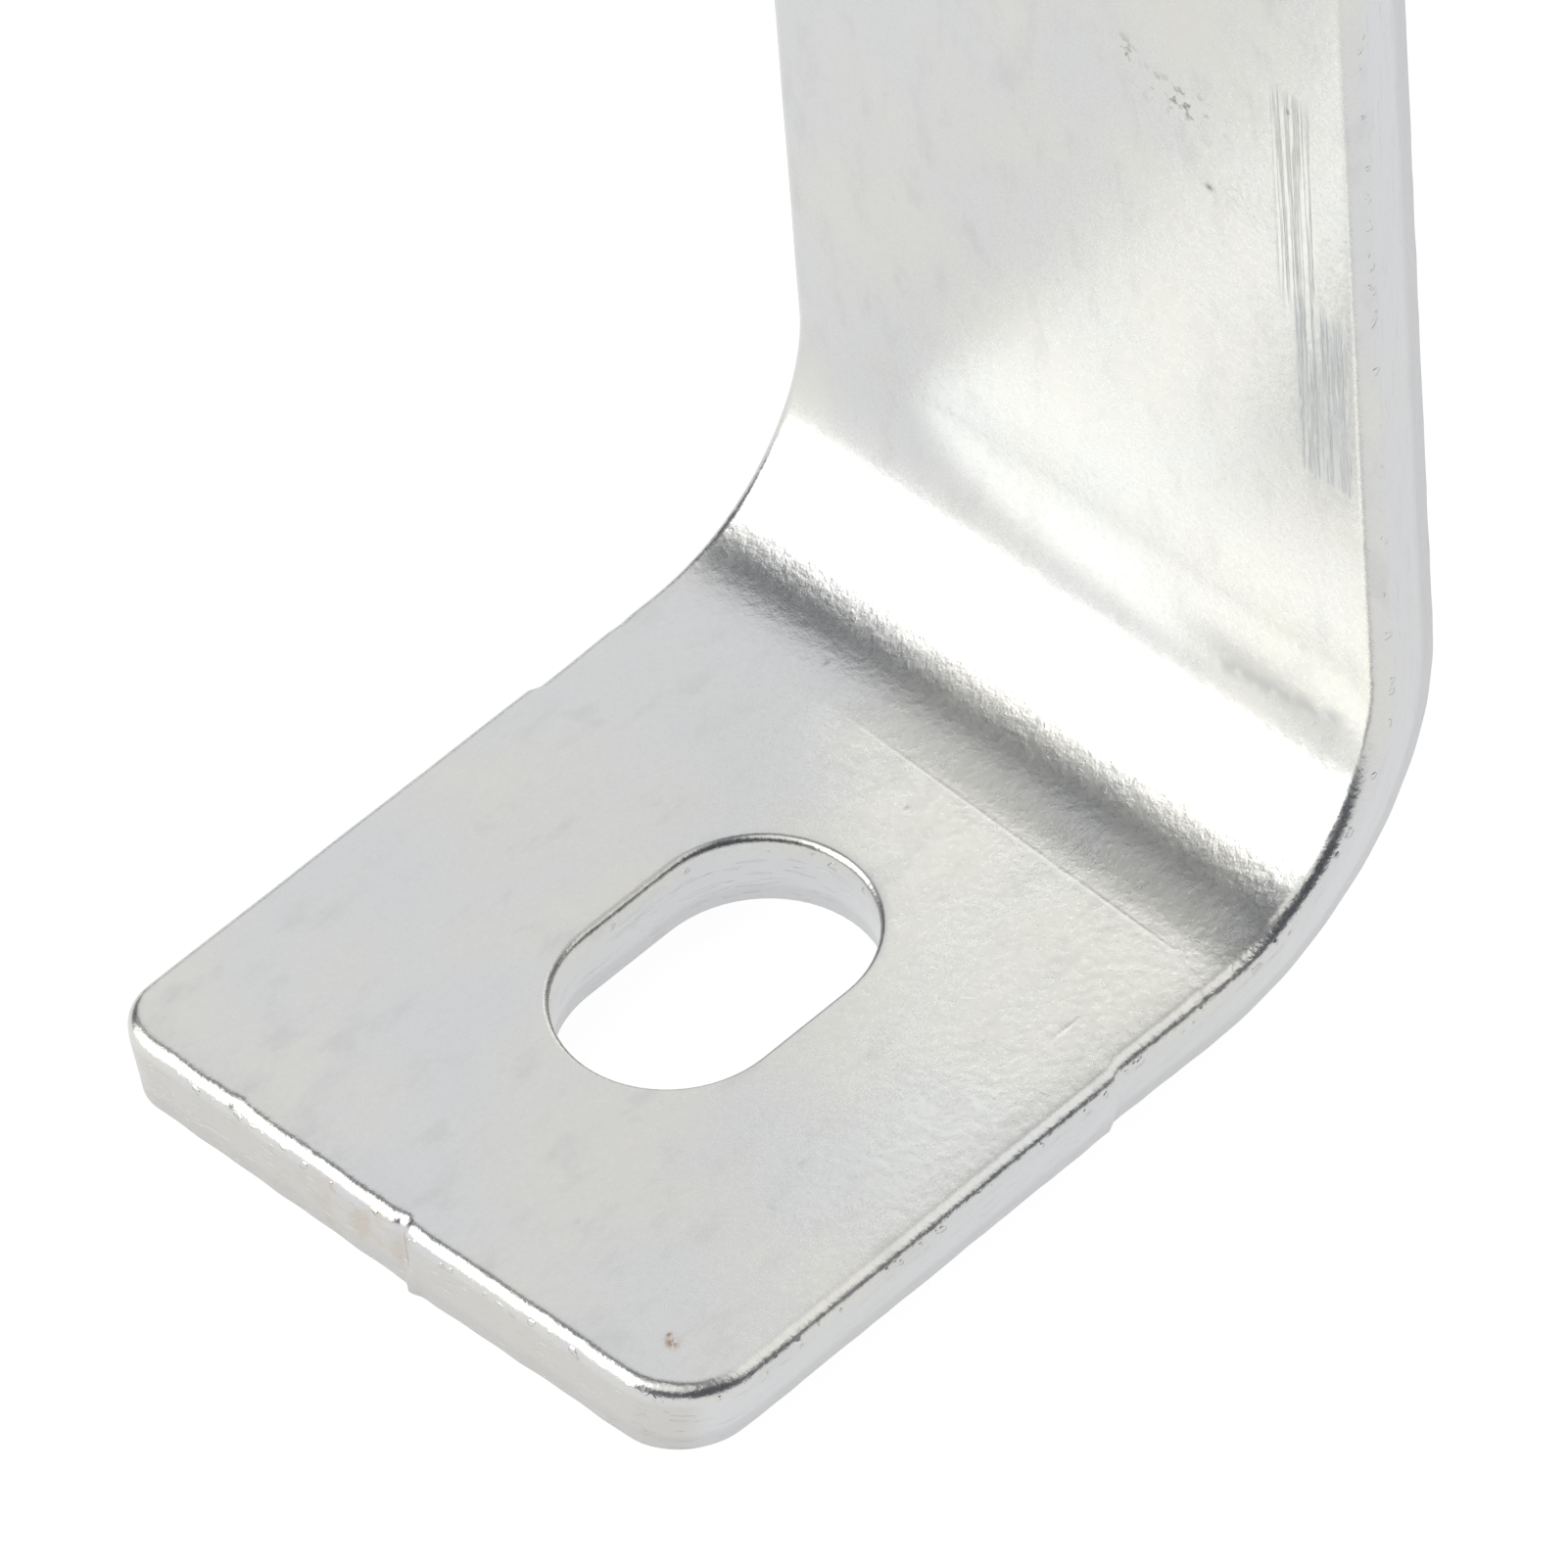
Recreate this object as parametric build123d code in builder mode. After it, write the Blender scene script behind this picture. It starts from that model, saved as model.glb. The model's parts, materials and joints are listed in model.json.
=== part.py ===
"""Slotted U bracket, also called a saddle: one strip of 3 mm zinc-plated steel, punched flat and folded.

Order of making in the shop: the blank is sheared and punched from the face that ends up on top of the
feet, then folded four times on one pair of tools. The model follows the folded shape: the side section
of the strip is drawn once, extruded to the strip's width, and the ends, slots and edges are cut on it.

The bracket stands on its two feet on the plane Z = 0, with the origin midway between them. X runs along
the span, Y across the strip, Z up.
"""
from build123d import *
import os

# ---- driving sizes, in millimetres ----
strip_width = 25.4       # nominal 25 mm strip, as wide as the shear left its feet
sheet = 3.0              # its thickness
foot_reach = 31.2        # free end of a foot to the outer face of its leg
span_inside = 50.0       # clear distance between the two legs
height_inside = 52.0     # clear height under the bridge
bend_inside = 7.2        # radius on the hollow side of every fold
slot_width = 7.6         # for a bolt of 6 or 7 mm with room to shift
slot_length = 11.3       # end to end, along the span
slot_from_end = 14.2     # centre of a slot to the free end of its foot
slot_off_centre = 0.1    # the punch stop sits a little to one side of the strip
end_corner = 2.8         # rounding of the blank's four corners, seen from above
edge_roll = 0.6          # edge pulled round by the shear on the side it entered
slot_roll = 0.3          # the same on the rim of a slot, smaller with the tighter punch

# ---- sizes that follow from them ----
bend_outside = bend_inside + sheet
height = height_inside + sheet
leg_inner = span_inside / 2
leg_outer = leg_inner + sheet
half_length = leg_outer + foot_reach
slot_centre = half_length - slot_from_end
touching = 0.001         # closer than this, an edge lies in a face

# ---- side section: half of it is drawn, from the middle of the bridge out to the end of a foot ----
with BuildSketch(Plane.XZ) as section:
    with BuildLine():
        Polyline(
            (0, height_inside),
            (leg_inner, height_inside),
            (leg_inner, 0),
            (half_length, 0),
            (half_length, sheet),
            (leg_outer, sheet),
            (leg_outer, height),
            (0, height),
            close=True,
        )
    make_face()
    # every fold has the small radius on its hollow side and the small radius plus the sheet on the other
    for fold_corner, radius in (
        ((leg_inner, 0), bend_outside),
        ((leg_outer, sheet), bend_inside),
        ((leg_inner, height_inside), bend_inside),
        ((leg_outer, height), bend_outside),
    ):
        fillet(section.vertices().sort_by_distance(fold_corner)[0], radius)
    mirror(about=Plane.YZ)

# ---- line of the face the shear and the punch came in from: top of the feet, outside of the legs ----
with BuildLine(Plane.XZ) as punched_side:
    for way in (1, -1):
        FilletPolyline(
            (way * half_length, sheet), (way * leg_outer, sheet), (way * leg_outer, height / 2),
            radius=bend_inside,
        )
        FilletPolyline((way * leg_outer, height / 2), (way * leg_outer, height), (0, height), radius=bend_outside)


def on_punched_outline(edge):
    """True for an edge round the punched face, wherever it is along the folded strip."""
    middle = edge @ 0.5
    in_face = punched_side.line.distance_to(Vertex(middle.X, 0, middle.Z)) < touching
    across_the_strip = abs(middle.Y) < touching and abs(middle.X) < half_length - touching
    return in_face and not across_the_strip


with BuildPart() as bracket:
    extrude(section.sketch, amount=strip_width / 2, both=True)

    # corners of the two free ends
    uprights = bracket.edges().filter_by(Axis.Z).group_by(Axis.X)
    fillet(uprights[0] + uprights[-1], end_corner)

    # rolled edge, in one run round the whole outline of the punched face
    fillet(bracket.edges().filter_by(on_punched_outline), edge_roll)

    # one slot in each foot, long way along the span
    with BuildSketch(Plane.XY):
        with Locations((slot_centre, -slot_off_centre), (-slot_centre, -slot_off_centre)):
            SlotOverall(slot_length, slot_width)
    extrude(amount=sheet, mode=Mode.SUBTRACT)
    fillet(bracket.edges(Select.LAST).group_by(Axis.Z)[-1], slot_roll)

bracket.part.label = "bracket"

os.makedirs("parts", exist_ok=True)
export_step(bracket.part, "parts/bracket.step")
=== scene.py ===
"""Looks of a slotted U bracket: one folded strip of zinc-plated steel, on a lit white table."""
import json
import math

import bpy
from mathutils import Matrix, Vector
from mathutils.geometry import delaunay_2d_cdt


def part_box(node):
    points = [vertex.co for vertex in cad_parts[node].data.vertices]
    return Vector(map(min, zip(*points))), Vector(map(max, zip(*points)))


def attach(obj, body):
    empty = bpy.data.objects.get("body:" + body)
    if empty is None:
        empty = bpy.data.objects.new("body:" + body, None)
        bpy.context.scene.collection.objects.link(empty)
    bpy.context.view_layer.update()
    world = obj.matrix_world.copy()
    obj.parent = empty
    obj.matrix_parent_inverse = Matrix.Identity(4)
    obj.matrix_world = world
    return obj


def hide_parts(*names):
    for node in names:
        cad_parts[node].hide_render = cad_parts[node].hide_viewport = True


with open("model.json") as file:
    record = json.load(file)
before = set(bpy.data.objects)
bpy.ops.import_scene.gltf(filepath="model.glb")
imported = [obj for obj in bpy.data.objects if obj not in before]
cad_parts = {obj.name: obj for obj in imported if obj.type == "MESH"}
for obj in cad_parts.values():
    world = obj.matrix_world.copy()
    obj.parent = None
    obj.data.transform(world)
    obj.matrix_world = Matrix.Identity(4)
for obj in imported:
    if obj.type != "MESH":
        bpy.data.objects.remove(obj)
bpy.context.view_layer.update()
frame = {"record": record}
MM = 0.001


# ---------------------------------------------------------------------------------------------------------
# The flat blank. The real one is 3 mm steel strip, sheared to length and width and punched from the face
# that ends up on top of the feet, so that face has a rolled edge all round and the other one a sharp one.
# It is made flat here, x along the strip, y across it and z through it, just as the press receives it.
# ---------------------------------------------------------------------------------------------------------
low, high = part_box("bracket")
slots = next(m for m in frame["record"]["mounts"] if m["name"] == "foot_slots")
strip_half = (high.y - low.y) / 2
bracket_height = high.z
bracket_half = high.x
sheet = 3.0 * MM
leg_outer = 28.0 * MM
fold_inside = 7.2 * MM
fold_outside = fold_inside + sheet
quarter = math.pi / 2

bridge_flat = leg_outer - fold_outside
leg_flat = bracket_height - sheet - fold_inside - fold_outside
foot_flat = bracket_half - leg_outer - fold_inside
leg_start = bridge_flat + quarter * fold_outside
foot_fold_start = leg_start + leg_flat
foot_start = foot_fold_start + quarter * fold_inside
blank_half = foot_start + foot_flat


def on_foot(reach):
    """Place along the blank, counted from its middle, of a point of the foot that far out from its leg."""
    return foot_start + reach - fold_inside


def on_leg(above_table):
    """Place along the blank, counted from its middle, of a point of the leg at that height."""
    return leg_start + bracket_height - fold_outside - above_table


slot_reach = on_foot(slots["dims"]["spacing_x_mm"] / 2 * MM - leg_outer)
slot_side = slots["pos_m"][1]
slot_half_width = slots["dims"]["hole_r_mm"] * MM
slot_half_run = slots["dims"]["slot_length_mm"] / 2 * MM - slot_half_width

# the two corners of the near foot came off the shear unlike each other
near_corner = 3.0 * MM
left_corner = 2.0 * MM
far_corner = 2.8 * MM
edge_roll = 0.55 * MM
slot_roll = 0.28 * MM
burr_round = 0.1 * MM
flat_margin = 1.85 * MM


def smooth(value):
    """0 below 0, 1 above 1, and an even S between them."""
    value = min(max(value, 0.0), 1.0)
    return value * value * (3 - 2 * value)


def bump_at(value, centre, spread):
    return math.exp(-((value - centre) / spread) ** 2)


def taper(depth, most):
    """How far a sheared wall falls back at that depth: upright where it was cut, slanting where it tore."""
    return most * min(max((depth - 0.3 * sheet) / (0.7 * sheet), 0.0), 1.0)


# How far the sheared edge lies inside the nominal outline. The feet were left a little wider than the rest,
# with a small step where the second stroke of the shear began, and the wall under them is torn back.
def side_inset(along, across, depth):
    out = abs(along)
    step = on_foot(12.1 * MM if across > 0 else 11.9 * MM)
    before_step = 1 - smooth((out - step) / (0.4 * MM))
    narrow = 0.12 * MM * before_step
    notch = 0.05 * MM * smooth((out - step + 3.4 * MM) / (3.2 * MM)) * before_step
    chips = 0.05 * MM * bump_at(out, step - 3.6 * MM, 0.35 * MM) * (1 - smooth(depth / (0.4 * sheet)))
    shake = 0.012 * MM * (1 + math.sin(out / (1.7 * MM)) * math.sin(out / (2.9 * MM) + 1.0))
    ragged = 0.015 * MM * (1 + math.sin(out / (0.31 * MM)) * math.sin(out / (0.83 * MM) + 2.0))
    return narrow + notch + chips + shake + ragged * smooth(depth / sheet) + taper(depth, 0.45 * MM)


# The near foot's end has the mark where the two halves of the cut met: a crease with a nib of metal at its
# foot, and the right half stands out a little beyond the left one.
def end_inset(along, across, depth):
    torn = taper(depth, 0.10 * MM)
    if along > 0:
        return 0.02 * MM + torn
    right = smooth((-across - 0.45 * MM) / (0.3 * MM))
    left_half = 0.10 * MM
    right_half = 0.01 * MM + 0.12 * MM * smooth((-across - 0.8 * MM) / (7.5 * MM))
    crease = 0.12 * MM * bump_at(across, -0.35 * MM, 0.25 * MM)
    low_down = smooth((depth - 0.55 * sheet) / (0.4 * sheet))
    nib = 0.22 * MM * bump_at(across, -0.55 * MM, 0.38 * MM) * low_down
    ding = 0.12 * MM * bump_at(across, 6.9 * MM, 0.3 * MM) * (1 - smooth(depth / (0.45 * sheet)))
    ragged = 0.02 * MM * (1 + math.sin(across / (0.37 * MM)) * math.sin(across / (1.13 * MM)))
    return max(left_half * (1 - right) + right_half * right + crease - nib + ding + torn + ragged, 0.0)


def spaced(start, end, gap):
    """Evenly spaced places from start up to but not including end, about gap apart."""
    count = max(1, round(abs(end - start) / gap))
    return [start + (end - start) * i / count for i in range(count)]


# Stations along half the strip, closer together round the folds and at the step.
half_stations = (
    spaced(0.0, bridge_flat, 1.2 * MM)
    + spaced(bridge_flat, leg_start, 0.5 * MM)
    + spaced(leg_start, foot_fold_start, 0.9 * MM)
    + spaced(foot_fold_start, foot_start, 0.3 * MM)
    + [foot_start]
)
ladder = [-s for s in reversed(half_stations[1:])] + half_stations


def foot_side(end):
    """Stations of a foot's side edge, from its fold to where its corner begins."""
    fine_from, fine_to = on_foot(8.5 * MM), on_foot(13.0 * MM)
    return (
        spaced(foot_start, fine_from, 0.4 * MM)[1:]
        + spaced(fine_from, fine_to, 0.18 * MM)
        + spaced(fine_to, end, 0.6 * MM)
    )


def corner(centre_along, centre_across, radius, from_angle):
    """Points round one corner, each with the direction that faces out of the strip."""
    steps = 14
    angles = [from_angle + quarter * i / steps for i in range(steps + 1)]
    facing_out = [(math.cos(a), math.sin(a)) for a in angles]
    return [(centre_along + radius * x, centre_across + radius * y, x, y) for x, y in facing_out]


def side(stations, facing):
    return [(s, facing * strip_half, 0.0, float(facing)) for s in stations]


def end(facing, start, stop):
    """The end of a foot, between its two corners, finer round the mark in the middle of the near one."""
    gap = 0.14 * MM if facing < 0 else 0.8 * MM
    return [(facing * blank_half, w, float(facing), 0.0) for w in spaced(start, stop, gap)[1:]]


# once round the blank, anticlockwise seen from the punched face
far_run = ladder + foot_side(blank_half - far_corner)
right_run = [-s for s in reversed(foot_side(blank_half - near_corner))] + far_run
left_run = [-s for s in reversed(foot_side(blank_half - left_corner))] + far_run
outline = (
    side(right_run, -1)
    + corner(blank_half - far_corner, -strip_half + far_corner, far_corner, -quarter)
    + end(1, -strip_half + far_corner, strip_half - far_corner)
    + corner(blank_half - far_corner, strip_half - far_corner, far_corner, 0.0)
    + side(list(reversed(left_run)), 1)
    + corner(-blank_half + left_corner, strip_half - left_corner, left_corner, quarter)
    + end(-1, strip_half - left_corner, -strip_half + near_corner)
    + corner(-blank_half + near_corner, -strip_half + near_corner, near_corner, 2 * quarter)
)


def edge_sag(along, across, out_x, out_y):
    """How far the face sinks towards its edge: most on the near end's left half, least along the sides."""
    left = smooth((across + 0.9 * MM) / (0.5 * MM)) if along < 0 else 0.0
    return out_y * out_y * 0.02 * MM + out_x * out_x * (0.03 + 0.03 * left) * MM


def edge_profile(roll, breakout):
    """(inset, depth) pairs over a punched edge: the face's rim, its roll, the wall and the burr side."""
    profile = [(flat_margin - (flat_margin - roll) * i / 7, 0.0) for i in range(8)]
    for i in range(1, 10):
        a = quarter * i / 9
        profile.append((roll * (1 - math.sin(a)), roll * (1 - math.cos(a))))
    wall_start = profile[-1][1]
    wall_end = sheet - burr_round
    for i in range(1, 9):
        depth = wall_start + (wall_end - wall_start) * i / 8
        profile.append((taper(depth, breakout), depth))
    for i in range(1, 4):
        a = quarter * i / 3
        profile.append((breakout + burr_round * (1 - math.cos(a)), wall_end + burr_round * math.sin(a)))
    profile += [(breakout + burr_round + 0.12 * MM, sheet), (flat_margin, sheet)]
    return profile


points = []
faces = []


def band(loops):
    """Joins closed loops of points, each given by its first index, into one band of four-sided faces."""
    (first, count), *_ = loops
    for (upper, _), (lower, _) in zip(loops, loops[1:]):
        for i in range(count):
            j = (i + 1) % count
            faces.append((upper + i, lower + i, lower + j, upper + j))


outline_loops = []
for inset, depth in edge_profile(edge_roll, 0.0):
    outline_loops.append((len(points), len(outline)))
    fade = 1 - smooth((inset - 0.5 * MM) / (flat_margin - 0.5 * MM))
    for along, across, out_x, out_y in outline:
        sideways = out_y * out_y * side_inset(along, across, depth)
        endways = out_x * out_x * end_inset(along, across, depth)
        pull = inset + fade * (sideways + endways)
        near_edge = min((flat_margin - inset) / (flat_margin - edge_roll), 1.0)
        sag = edge_sag(along, across, out_x, out_y) * near_edge * near_edge * (1 - depth / sheet)
        points.append((along - pull * out_x, across - pull * out_y, sheet - depth - sag))
band(outline_loops)


def slot_outline(facing):
    """The slot's rim, clockwise seen from the punched face, with the direction that faces into the hole."""
    rim = []
    for turn in (0, 1):
        centre = facing * slot_reach + (slot_half_run if turn == 0 else -slot_half_run)
        for i in range(33):
            a = quarter - math.pi * (i / 32 + turn)
            rim.append((centre, slot_side, math.cos(a), math.sin(a)))
        for w in (0.33, 0.67):
            run = slot_half_run * (1 - 2 * w) * (1 if turn == 0 else -1)
            rim.append((facing * slot_reach + run, slot_side, 0.0, -1.0 if turn == 0 else 1.0))
    return rim


slot_loops = {}
for facing in (-1, 1):
    loops = []
    for inset, depth in edge_profile(slot_roll, 0.15 * MM):
        rim = slot_outline(facing)
        loops.append((len(points), len(rim)))
        for along, across, in_x, in_y in rim:
            away = slot_half_width + inset
            points.append((along + away * in_x, across + away * in_y, sheet - depth))
    band(loops)
    slot_loops[facing] = loops


# The flat inside of both faces: a ladder of rungs across the strip from foot to foot, and round each slot a
# fill of small triangles.
columns = 24
first_right = len(foot_side(blank_half - near_corner))
first_left = outline.index((ladder[0], strip_half, 0.0, 1.0))


def fill_face(outer_first, slot_firsts, level, up):
    """Closes one face of the blank inside the innermost loops of its outline and of its two slots."""
    def add(face):
        faces.append(tuple(face) if up else tuple(reversed(face)))

    rungs = []
    for k in range(len(ladder)):
        right = outer_first + first_right + k
        left = outer_first + first_left - k
        x0, y0, _ = points[right]
        _, y1, _ = points[left]
        rung = [right]
        for c in range(1, columns):
            rung.append(len(points))
            points.append((x0, y0 + (y1 - y0) * c / columns, level))
        rungs.append(rung + [left])
    for near, far in zip(rungs, rungs[1:]):
        for c in range(columns):
            add((near[c], far[c], far[c + 1], near[c + 1]))

    for facing, rung in ((-1, rungs[0]), (1, rungs[-1])):
        count = len(outline)
        if facing > 0:
            edge = list(range(first_right + len(ladder) - 1, first_left - len(ladder) + 2))
        else:
            edge = [i % count for i in range(first_left, first_right + count + 1)]
        border = [outer_first + i for i in edge]
        border += list(reversed(rung[1:-1])) if facing > 0 else rung[1:-1]
        rim_first, rim_count = slot_firsts[facing]
        hole = [rim_first + i for i in range(rim_count)]
        corners = border + hole
        used = [Vector(points[i][:2]) for i in corners]
        ties = [(i, (i + 1) % len(border)) for i in range(len(border))]
        ties += [(len(border) + i, len(border) + (i + 1) % rim_count) for i in range(rim_count)]
        clear = slot_half_width + flat_margin

        def from_slot(x, y):
            run = min(max(x - facing * slot_reach, -slot_half_run), slot_half_run)
            return math.hypot(x - facing * slot_reach - run, y - slot_side)

        corner_clear = 3.2 * MM
        inner = strip_half - flat_margin - 0.5 * MM
        grid = 0.95 * MM
        wide = int(inner / grid)
        long = int((blank_half - flat_margin - foot_start) / grid)
        for i in range(1, long):
            x = facing * (foot_start + i * grid)
            for j in range(-wide, wide + 1):
                y = j * grid + (0.31 * grid if i % 2 else -0.17 * grid)
                if abs(y) < inner and from_slot(x, y) > clear + 0.45 * MM:
                    in_corner = blank_half - corner_clear < abs(x) and abs(y) > strip_half - corner_clear
                    if not in_corner:
                        corners.append(len(points))
                        points.append((x, y, level))
                        used.append(Vector((x, y)))
        scaled = [v / MM for v in used]
        found, _, triangles, origins, _, _ = delaunay_2d_cdt(scaled, ties, [], 0, 1e-5)
        for triangle in triangles:
            middle = sum((found[i] for i in triangle), Vector((0, 0))) / 3 * MM
            if from_slot(middle.x, middle.y) < clear:
                continue
            a, b, c = (corners[origins[i][0]] for i in triangle)
            at_a, at_b, at_c = (Vector(points[i][:2]) for i in (a, b, c))
            area = (at_b - at_a).cross(at_c - at_a)
            if abs(area) < 1e-12:
                continue
            add((a, b, c) if area > 0 else (a, c, b))


fill_face(outline_loops[0][0], {f: slot_loops[f][0] for f in slot_loops}, sheet, True)
fill_face(outline_loops[-1][0], {f: slot_loops[f][-1] for f in slot_loops}, 0.0, False)

blank_mesh = bpy.data.meshes.new("blank")
blank_mesh.from_pydata(points, [], faces)
blank_mesh.polygons.foreach_set("use_smooth", [True] * len(faces))
blank_mesh.validate()
blank = bpy.data.objects.new("blank", blank_mesh)
bpy.context.scene.collection.objects.link(blank)


# ---------------------------------------------------------------------------------------------------------
# The bracket itself: the blank folded four times on one pair of tools, so every fold has the same radius on
# its hollow side. The press also thins and thickens the strip a little, and the flats are never quite flat.
# ---------------------------------------------------------------------------------------------------------
class Wire:
    """A node's output socket. Sums, products and the like of wires and numbers add their own Math nodes."""

    def __init__(self, socket):
        self.socket = socket

    def math(self, operation, first, *others):
        tree = self.socket.id_data
        return node(tree, "ShaderNodeMath", {"operation": operation}, dict(enumerate((first,) + others)))

    def __add__(self, other):
        return self.math("ADD", self, other)

    def __radd__(self, other):
        return self.math("ADD", other, self)

    def __sub__(self, other):
        return self.math("SUBTRACT", self, other)

    def __rsub__(self, other):
        return self.math("SUBTRACT", other, self)

    def __mul__(self, other):
        return self.math("MULTIPLY", self, other)

    def __rmul__(self, other):
        return self.math("MULTIPLY", other, self)

    def __truediv__(self, other):
        return self.math("DIVIDE", self, other)

    def __abs__(self):
        return self.math("ABSOLUTE", self)

    def sign(self):
        return self.math("SIGN", self)

    def sine(self):
        return self.math("SINE", self)

    def cosine(self):
        return self.math("COSINE", self)

    def between(self, lowest, highest):
        return self.math("MINIMUM", self.math("MAXIMUM", self, lowest), highest)

    def squared(self):
        return self.math("MULTIPLY", self, self)

    def exponent(self):
        return self.math("EXPONENT", self)


def node(tree, kind, settings=None, values=None, out=0):
    """Adds a node: its settings first, then a value or a wire for each socket. Gives one of its outputs."""
    made = tree.nodes.new(kind)
    for name, value in (settings or {}).items():
        setattr(made, name, value)
    for name, value in (values or {}).items():
        if isinstance(value, Wire):
            tree.links.new(value.socket, made.inputs[name])
        else:
            made.inputs[name].default_value = value
    return Wire(made.outputs[out])


def folding_tree():
    """The rule that folds a flat blank, measured from the middle of the bridge out to both feet."""
    tree = bpy.data.node_groups.new("fold_strip", "GeometryNodeTree")
    sizes = ("Bridge flat", "Leg flat", "Fold inside", "Sheet", "Height", "Thinning", "Seed")
    tree.interface.new_socket(name="Blank", in_out="INPUT", socket_type="NodeSocketGeometry")
    for name in sizes:
        tree.interface.new_socket(name=name, in_out="INPUT", socket_type="NodeSocketFloat")
    tree.interface.new_socket(name="Finish", in_out="INPUT", socket_type="NodeSocketMaterial")
    tree.interface.new_socket(name="Bracket", in_out="OUTPUT", socket_type="NodeSocketGeometry")
    given = tree.nodes.new("NodeGroupInput")
    bridge, leg, inside, thickness, height, thinning, seed = (Wire(given.outputs[name]) for name in sizes)

    place = node(tree, "GeometryNodeInputPosition")
    split = node(tree, "ShaderNodeSeparateXYZ", None, {0: place})
    along, across, depth = (Wire(split.socket.node.outputs[i]) for i in range(3))
    kept = node(
        tree, "GeometryNodeStoreNamedAttribute", {"data_type": "FLOAT_VECTOR", "domain": "POINT"},
        {"Geometry": Wire(given.outputs["Blank"]), "Name": "blank", "Value": place},
    )
    outside = inside + thickness
    out = abs(along)
    top_turn = ((out - bridge) / outside).between(0.0, quarter)
    down = (out - bridge - outside * quarter).between(0.0, leg)
    foot_turn = ((out - bridge - outside * quarter - leg) / inside).between(0.0, quarter)
    foot = (out - bridge - outside * quarter - leg - inside * quarter).between(0.0, 1.0)
    heading = top_turn - foot_turn
    reach = (out.between(0.0, bridge) + outside * top_turn.sine()
             + inside * (1.0 - foot_turn.cosine()) + foot)
    level = height - outside * (1.0 - top_turn.cosine()) - down - inside * foot_turn.sine()
    wander = node(
        tree, "ShaderNodeTexNoise", {"noise_dimensions": "4D"},
        {"Vector": place, "W": seed, "Scale": 95.0, "Detail": 1.0, "Roughness": 0.4},
    )
    below = (depth - thickness * 0.5) * (1.0 - thinning * wander) - thickness * 0.5
    moved = node(
        tree, "ShaderNodeCombineXYZ", None,
        {0: along.sign() * (reach + below * heading.sine()), 1: across,
         2: level + below * heading.cosine()},
    )
    folded = node(tree, "GeometryNodeSetPosition", None, {"Geometry": kept, "Position": moved})
    real = node(tree, "GeometryNodeRealizeInstances", None, {"Geometry": folded})
    finished = node(tree, "GeometryNodeSetMaterial", None,
                    {"Geometry": real, "Material": Wire(given.outputs["Finish"])})
    result = tree.nodes.new("NodeGroupOutput")
    tree.links.new(finished.socket, result.inputs["Bracket"])
    return tree


# The finish: bright zinc plate over rolled steel. It keeps the mill's fine grain, goes cloudy where the
# bath dried, is rubbed where the die dragged over it, and has picked up a few pits and specks.
zinc = bpy.data.materials.new("zinc_plate")
zinc.use_nodes = True
tree = zinc.node_tree
tree.nodes.clear()
surface = tree.nodes.new("ShaderNodeOutputMaterial")


def shade(kind, settings=None, values=None, out=0):
    return node(tree, kind, settings, values, out)


def mixed(share, first, second):
    """A colour or wire part of the way from the first to the second."""
    return shade("ShaderNodeMix", {"data_type": "RGBA"}, {"Factor": share, 6: first, 7: second}, 2)


on_blank = shade("ShaderNodeAttribute", {"attribute_type": "GEOMETRY", "attribute_name": "blank"}, None, 1)
in_mm = shade("ShaderNodeVectorMath", {"operation": "SCALE"}, {0: on_blank, "Scale": 1000.0})
parts = shade("ShaderNodeSeparateXYZ", None, {0: in_mm})
along, across, depth = (Wire(parts.socket.node.outputs[i]) for i in range(3))


def stretched(x, y, z, shift=0.0):
    """The blank's own coordinates in millimetres, scaled along, across and through the strip."""
    return shade("ShaderNodeMapping", None,
                 {"Vector": in_mm, "Scale": (x, y, z), "Location": (shift, 0.0, 0.0)})


def noise(scale, detail=2.0, roughness=0.5, at=None):
    """Even noise over the blank, with that many lumps to the millimetre."""
    return shade("ShaderNodeTexNoise", None,
                 {"Vector": at or in_mm, "Scale": scale, "Detail": detail, "Roughness": roughness})


def stepped(value, low_edge, high_edge):
    """0 where the value is under the low edge, 1 over the high edge, with an even S between."""
    return shade("ShaderNodeMapRange", {"interpolation_type": "SMOOTHSTEP"},
                 {"Value": value, "From Min": low_edge, "From Max": high_edge})


def spot(x, y, width, length=None):
    """A soft round or oval mark on the near foot or leg: 1 in its middle, in millimetres of the blank."""
    a, b = (along - x) / (length or width), (across - y) / width
    return (-1.0 * (a.squared() + b.squared())).exponent()


def near(reach):
    return -on_foot(reach * MM) / MM


def up_leg(height):
    return -on_leg(height * MM) / MM


wall = 1.0 - stepped(depth, 2.15, 2.5)
torn = 1.0 - stepped(depth, 0.55, 0.95)
rim = stepped(depth, 2.2, 2.5) * (1.0 - stepped(depth, 2.90, 2.99))
out = abs(along)
fold_zone = stepped(out, foot_fold_start / MM + 3.0, foot_start / MM - 4.0) * (1.0 - stepped(
    out, foot_start / MM - 0.5, foot_start / MM + 2.5))
right_edge = 1.0 - stepped(across, -10.6, -6.5)
# mask of the near end's wall, where the wall colour is painted darker as painted shade
near_end_painted_shade = stepped(-1.0 * along, blank_half / MM - 1.6, blank_half / MM - 0.8)

peel = noise(2.6, 2.0, 0.55)
grain = noise(5.5, 3.0, 0.6)
broad = noise(0.22, 2.0, 0.5)
clouds = noise(0.13, 3.0, 0.55, stretched(1.0, 1.3, 1.0, 7.0))
smears = noise(0.9, 3.0, 0.6, stretched(0.5, 1.0, 1.0, 3.0))

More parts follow.
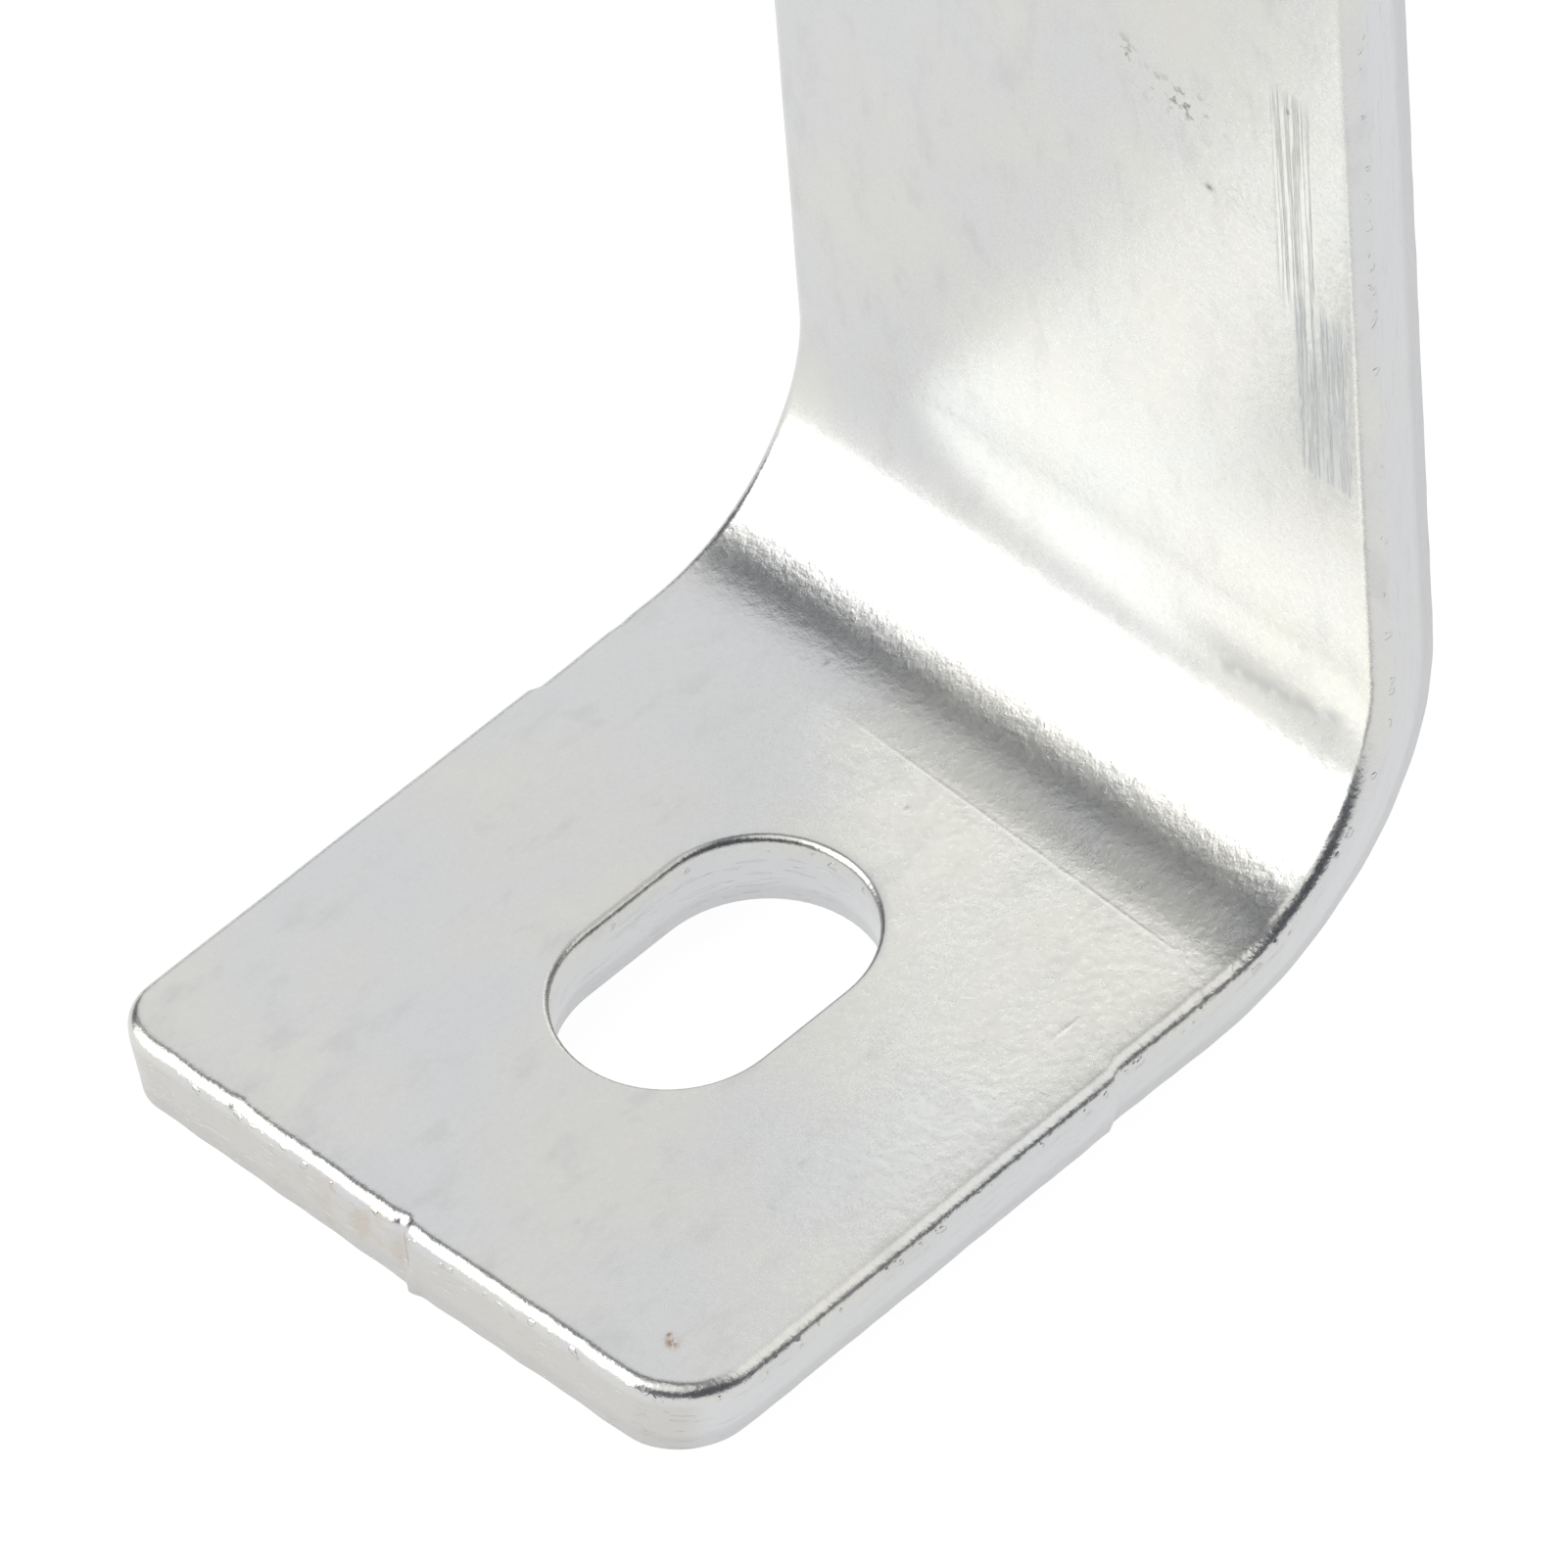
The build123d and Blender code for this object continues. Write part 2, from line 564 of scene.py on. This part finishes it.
# streaks where the die dragged along the near leg, and the rectangle of them lower down
upper_drag = (stepped(across, -10.9, -10.5) * (1.0 - stepped(across, -9.4, -9.0))
              * stepped(along, up_leg(24.0), up_leg(27.0))
              * (1.0 - stepped(along, up_leg(33.5), up_leg(34.5))))
lower_drag = (stepped(across, -12.0, -11.7) * (1.0 - stepped(across, -9.9, -9.6))
              * stepped(along, up_leg(17.8), up_leg(18.4))
              * (1.0 - stepped(along, up_leg(24.8), up_leg(26.0))))
drag = (upper_drag + lower_drag).between(0.0, 1.0)
drag_lines = stepped(noise(1.0, 4.0, 0.65, stretched(0.08, 4.6, 1.0)), 0.45, 0.60) * drag

# the line that the edge of the die left just before the fold
die_line_place = along - near(7.1) + (across + 3.5) * -0.034
die_line = ((-1.0 * (die_line_place / 0.07).squared()).exponent()
            * stepped(across, -11.5, -9.0) * (1.0 - stepped(across, 3.0, 4.4)) * noise(0.9, 1.0))

pits = (spot(near(21.3), -8.0, 0.09, 0.26) + spot(near(23.2), -8.6, 0.13)
        + spot(near(27.5), -4.5, 0.10, 0.16) + spot(near(5.8), 6.0, 0.10, 0.16)
        + spot(near(8.5), -0.1, 0.09, 0.13) + spot(near(11.9), -10.2, 0.08, 0.5))
blisters = spot(up_leg(28.2), -8.0, 1.3, 0.9)
speck_field = stepped(noise(1.7, 4.0, 0.7, stretched(1.0, 1.0, 1.0, 11.0)), 0.53, 0.62)
speck_places = spot(up_leg(30.8), -5.4, 1.5, 0.75) + spot(up_leg(31.6), -3.0, 0.5, 0.5)
specks = speck_field * speck_places.between(0.0, 1.0)
specks = specks + spot(up_leg(27.9), -6.4, 0.14, 0.12) + 0.8 * spot(up_leg(33.3), -9.9, 0.08, 0.12)
scuff = ((-1.0 * ((along + 70.9 + (across + 8.4) * 0.10) / 0.30).squared()).exponent()
         * stepped(across, -11.6, -10.8) * (1.0 - stepped(across, -6.6, -5.8))
         * stepped(noise(1.6, 2.0), 0.35, 0.6))
rust = (spot(near(29.1), -10.1, 0.22, 0.16) * stepped(noise(5.0), 0.38, 0.50)
        + spot(near(28.9), -9.8, 0.07, 0.1))
end_stain = (stepped(-1.0 * along, blank_half / MM - 0.55, blank_half / MM - 0.35)
             * spot(-blank_half / MM, 1.6, 2.4, 50.0) * stepped(noise(1.1, 2.0), 0.47, 0.62))

# the torn wall is scratched at a slant and has small beads of zinc along its upper line
slanted = shade("ShaderNodeMapping", None,
                {"Vector": in_mm, "Rotation": (0.0, 0.9, 0.0), "Scale": (0.5, 1.0, 6.0)})
wall_scratches = stepped(noise(1.0, 2.0, 0.5, slanted), 0.60, 0.66)
beads = stepped(noise(2.2, 1.0), 0.60, 0.70) * stepped(depth, 2.25, 2.4) * (1.0 - stepped(depth, 2.55, 2.7))

height = (
    (peel - 0.5) * (0.0046 + fold_zone * 0.0055 + right_edge * 0.0062 + blisters * 0.0260 + wall * 0.006
                    + rim * 0.013)
    + (grain - 0.5) * (0.0032 + fold_zone * 0.0056 + rim * 0.011)
    + (broad - 0.5) * 0.022
    - drag_lines * 0.026
    - die_line * 0.012
    - pits * 0.009
    + beads * 0.03
    - wall * wall_scratches * 0.010
    + torn * (noise(1.0, 3.0, 0.6, stretched(2.0, 2.0, 0.7)) * 0.03)
)
bump = shade("ShaderNodeBump", None, {"Strength": 1.0, "Distance": MM, "Height": height})

colour = mixed(stepped(clouds, 0.35, 0.7), (0.606, 0.614, 0.616, 1), (0.640, 0.636, 0.610, 1))
colour = mixed(stepped(smears, 0.50, 0.76) * 0.60, colour, (0.54, 0.545, 0.54, 1))
colour = mixed((grain * 1.6 - 0.55).between(0.0, 1.0) * 0.16, colour, (0.50, 0.50, 0.49, 1))
# sheared walls get their own grey; at the near end the wall is painted darker and warmer: the darkness is
# painted shade standing in for the shaded table it reflects, the warmth is its own tint
colour = mixed(wall * 0.7, colour, mixed(near_end_painted_shade, (0.632, 0.638, 0.655, 1), (0.560, 0.548, 0.520, 1)))
colour = mixed(torn * 0.35, colour, (0.52, 0.52, 0.53, 1))
colour = mixed(lower_drag * (0.25 + drag_lines * 0.35), colour, (0.47, 0.50, 0.53, 1))
colour = mixed((specks * 0.75).between(0.0, 0.8), colour, (0.22, 0.19, 0.16, 1))
colour = mixed((pits * 0.18 + scuff * 0.4).between(0.0, 0.7), colour, (0.30, 0.32, 0.34, 1))
colour = mixed((rust * 0.9).between(0.0, 0.9), colour, (0.30, 0.16, 0.08, 1))
colour = mixed(end_stain * 0.30, colour, (0.50, 0.38, 0.25, 1))

rough = (0.275 + (clouds - 0.5) * 0.10 + (grain - 0.5) * 0.12 + wall * 0.07 + torn * 0.08 + specks * 0.2
         + scuff * 0.1 - drag * 0.07)

plate = tree.nodes.new("ShaderNodeBsdfPrincipled")
plate.inputs["Metallic"].default_value = 1.0
tree.links.new(colour.socket, plate.inputs["Base Color"])
tree.links.new(rough.between(0.1, 0.6).socket, plate.inputs["Roughness"])
tree.links.new(bump.socket, plate.inputs["Normal"])
tree.links.new(plate.outputs[0], surface.inputs["Surface"])

fold = blank.modifiers.new("fold", "NODES")
fold.node_group = folding_tree()
named_inputs = {item.name: item.identifier for item in fold.node_group.interface.items_tree
                if item.item_type == "SOCKET" and item.in_out == "INPUT"}
for name, value in {
    "Bridge flat": bridge_flat, "Leg flat": leg_flat, "Fold inside": fold_inside, "Sheet": sheet,
    "Height": bracket_height, "Thinning": 0.012, "Seed": 4.0, "Finish": zinc,
}.items():
    fold[named_inputs[name]] = value
bpy.context.view_layer.update()
folded_mesh = bpy.data.meshes.new_from_object(blank.evaluated_get(bpy.context.evaluated_depsgraph_get()))
blank.modifiers.remove(fold)
blank.data = folded_mesh
blank.name = "folded_bracket"
folded_mesh.name = "folded_bracket"
bpy.data.meshes.remove(blank_mesh)
bracket = blank
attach(bracket, "root")
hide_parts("bracket")


# ---------------------------------------------------------------------------------------------------------
# The table, the light and the camera. A white acrylic table lit from below, one soft box at the front left,
# and a dim room with three broad patches of light on its walls and ceiling.
# ---------------------------------------------------------------------------------------------------------
def flat_material(name, base, glow):
    made = bpy.data.materials.new(name)
    made.use_nodes = True
    principled = made.node_tree.nodes["Principled BSDF"]
    principled.inputs["Base Color"].default_value = base
    principled.inputs["Roughness"].default_value = 0.9
    principled.inputs["Specular IOR Level"].default_value = 0.1
    principled.inputs["Emission Color"].default_value = (1.0, 1.0, 1.0, 1)
    principled.inputs["Emission Strength"].default_value = glow
    return made


table_half = 3.0
table_mesh = bpy.data.meshes.new("table")
table_mesh.from_pydata(
    [(-table_half, -table_half, 0), (table_half, -table_half, 0), (table_half, table_half, 0),
     (-table_half, table_half, 0)], [], [(0, 1, 2, 3)])
table_mesh.materials.append(flat_material("white_acrylic", (0.20, 0.20, 0.20, 1), 0.90))
table = bpy.data.objects.new("table", table_mesh)
bpy.context.scene.collection.objects.link(table)


def soft_box(name, towards, distance, width, tall, brightness):
    """A soft box that faces the near foot from that direction, as bright as a white of that value."""
    lamp = bpy.data.lights.new(name, "AREA")
    lamp.shape = "RECTANGLE"
    lamp.size, lamp.size_y = width, tall
    lamp.energy = brightness * math.pi * width * tall
    lamp.color = (1.0, 0.99, 0.955)
    holder = bpy.data.objects.new(name, lamp)
    bpy.context.scene.collection.objects.link(holder)
    direction = Vector(towards).normalized()
    holder.location = aim + direction * distance
    holder.rotation_euler = (-direction).to_track_quat("-Z", "Y").to_euler()
    return holder


aim = Vector((-38.95 * MM, 2.72 * MM, 4.14 * MM))
soft_box("left_soft_box", (-0.696, 0.544, 0.47), 0.7, 0.64, 0.63, 3.0)

room = bpy.data.worlds.new("room")
bpy.context.scene.world = room
room.use_nodes = True
tree = room.node_tree
tree.nodes.clear()
direction = shade("ShaderNodeTexCoord")


def wall_patch(towards, narrow, wide):
    """A soft round patch of light on the room, full inside one cosine and gone outside the other."""
    share = shade("ShaderNodeVectorMath", {"operation": "DOT_PRODUCT"},
                  {0: direction, 1: Vector(towards).normalized()}, 1)
    return stepped(share, wide, narrow)


dim = (0.084, 0.090, 0.106, 1)
lit = mixed(wall_patch((0.62, 0.50, 0.60), 0.85, 0.72), dim, (1.06, 1.06, 1.07, 1))
lit = mixed(wall_patch((0.62, -0.35, 0.70), 0.90, 0.80), lit, (1.30, 1.29, 1.25, 1))
lit = mixed(wall_patch((-0.50, -0.05, 0.86), 0.95, 0.89), lit, (1.20, 1.19, 1.15, 1))
seen = Wire(tree.nodes.new("ShaderNodeLightPath").outputs["Is Camera Ray"])
lit = mixed(seen, lit, (0.96, 0.96, 0.96, 1))
backdrop = shade("ShaderNodeBackground", None, {"Color": lit, "Strength": 1.0})
room_output = tree.nodes.new("ShaderNodeOutputWorld")
tree.links.new(backdrop.socket, room_output.inputs["Surface"])

azimuth = math.radians(47.754)
elevation = math.radians(46.566)
roll = math.radians(-4.845)
stand_off = 0.5295
looking = Vector((math.cos(azimuth) * math.cos(elevation), math.sin(azimuth) * math.cos(elevation),
                  -math.sin(elevation)))
lens = bpy.data.cameras.new("camera")
lens.sensor_width = 36.0
lens.lens = 391.8
camera = bpy.data.objects.new("camera", lens)
bpy.context.scene.collection.objects.link(camera)
camera.matrix_world = (
    Matrix.Translation(aim - looking * stand_off)
    @ looking.to_track_quat("-Z", "Y").to_matrix().to_4x4()
    @ Matrix.Rotation(roll, 4, "Z")
)
bpy.context.scene.camera = camera
bpy.context.scene.view_settings.view_transform = "Standard"
